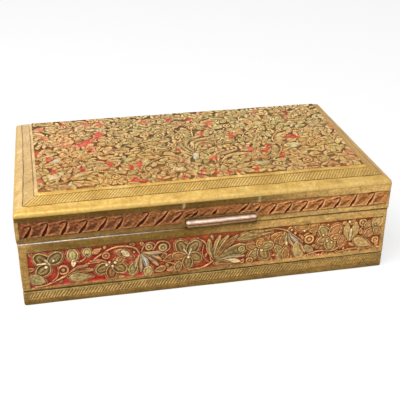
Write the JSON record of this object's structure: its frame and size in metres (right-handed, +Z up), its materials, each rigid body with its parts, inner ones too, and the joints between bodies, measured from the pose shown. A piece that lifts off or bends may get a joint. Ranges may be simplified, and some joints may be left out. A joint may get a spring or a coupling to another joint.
{
  "type": "brass casket",
  "caption": "Low rectangular brass casket with a hinged hipped lid, sunk floral panels on its sides, a raised floral top panel, a front thumb pull and a wood lining.",
  "frame": {"origin": "middle of the underside, on the surface it stands on", "axes": "+X along the length to the right of a person facing the thumb pull, -Y towards that person, +Z up"},
  "size_m": [0.2, 0.1232, 0.0595],
  "materials": {
    "chased_brass": "chased relief, lacquered and coloured in its hollows",
    "border_brass": "hand-polished",
    "sheet_brass": "dull, tarnished",
    "hinge_brass": "drawn tube, tarnished",
    "hinge_wire": "drawn wire",
    "pull_metal": "plating worn to brass",
    "lining_wood": "thin boards, waxed"
  },
  "bodies": {
    "base": {"base_front_plate": "chased_brass", "base_back_plate": "chased_brass", "base_left_plate": "chased_brass", "base_right_plate": "chased_brass", "base_bottom_plate": "sheet_brass", "base_lining_floor": "lining_wood", "base_lining_front": "lining_wood", "base_lining_back": "lining_wood", "base_lining_left": "lining_wood", "base_lining_right": "lining_wood", "base_hinge_bearer": "sheet_brass", "base_hinge_knuckles": "hinge_brass", "hinge_pin": "hinge_wire"},
    "lid": {"lid_border_frame": "border_brass", "lid_top_panel": "chased_brass", "lid_front_plate": "chased_brass", "lid_back_plate": "chased_brass", "lid_left_plate": "chased_brass", "lid_right_plate": "chased_brass", "lid_lining_top": "lining_wood", "lid_lining_front": "lining_wood", "lid_lining_back": "lining_wood", "lid_lining_left": "lining_wood", "lid_lining_right": "lining_wood", "lid_hinge_bearer": "sheet_brass", "lid_hinge_knuckles": "hinge_brass", "thumb_pull": "pull_metal"}
  },
  "joints": [
    {"name": "lid_hinge", "type": "hinge", "parent": "base", "child": "lid", "pos_m": [0, 0.0582, 0.0376], "axis": [-1, 0, 0], "range_deg": [0, 105]}
  ]
}
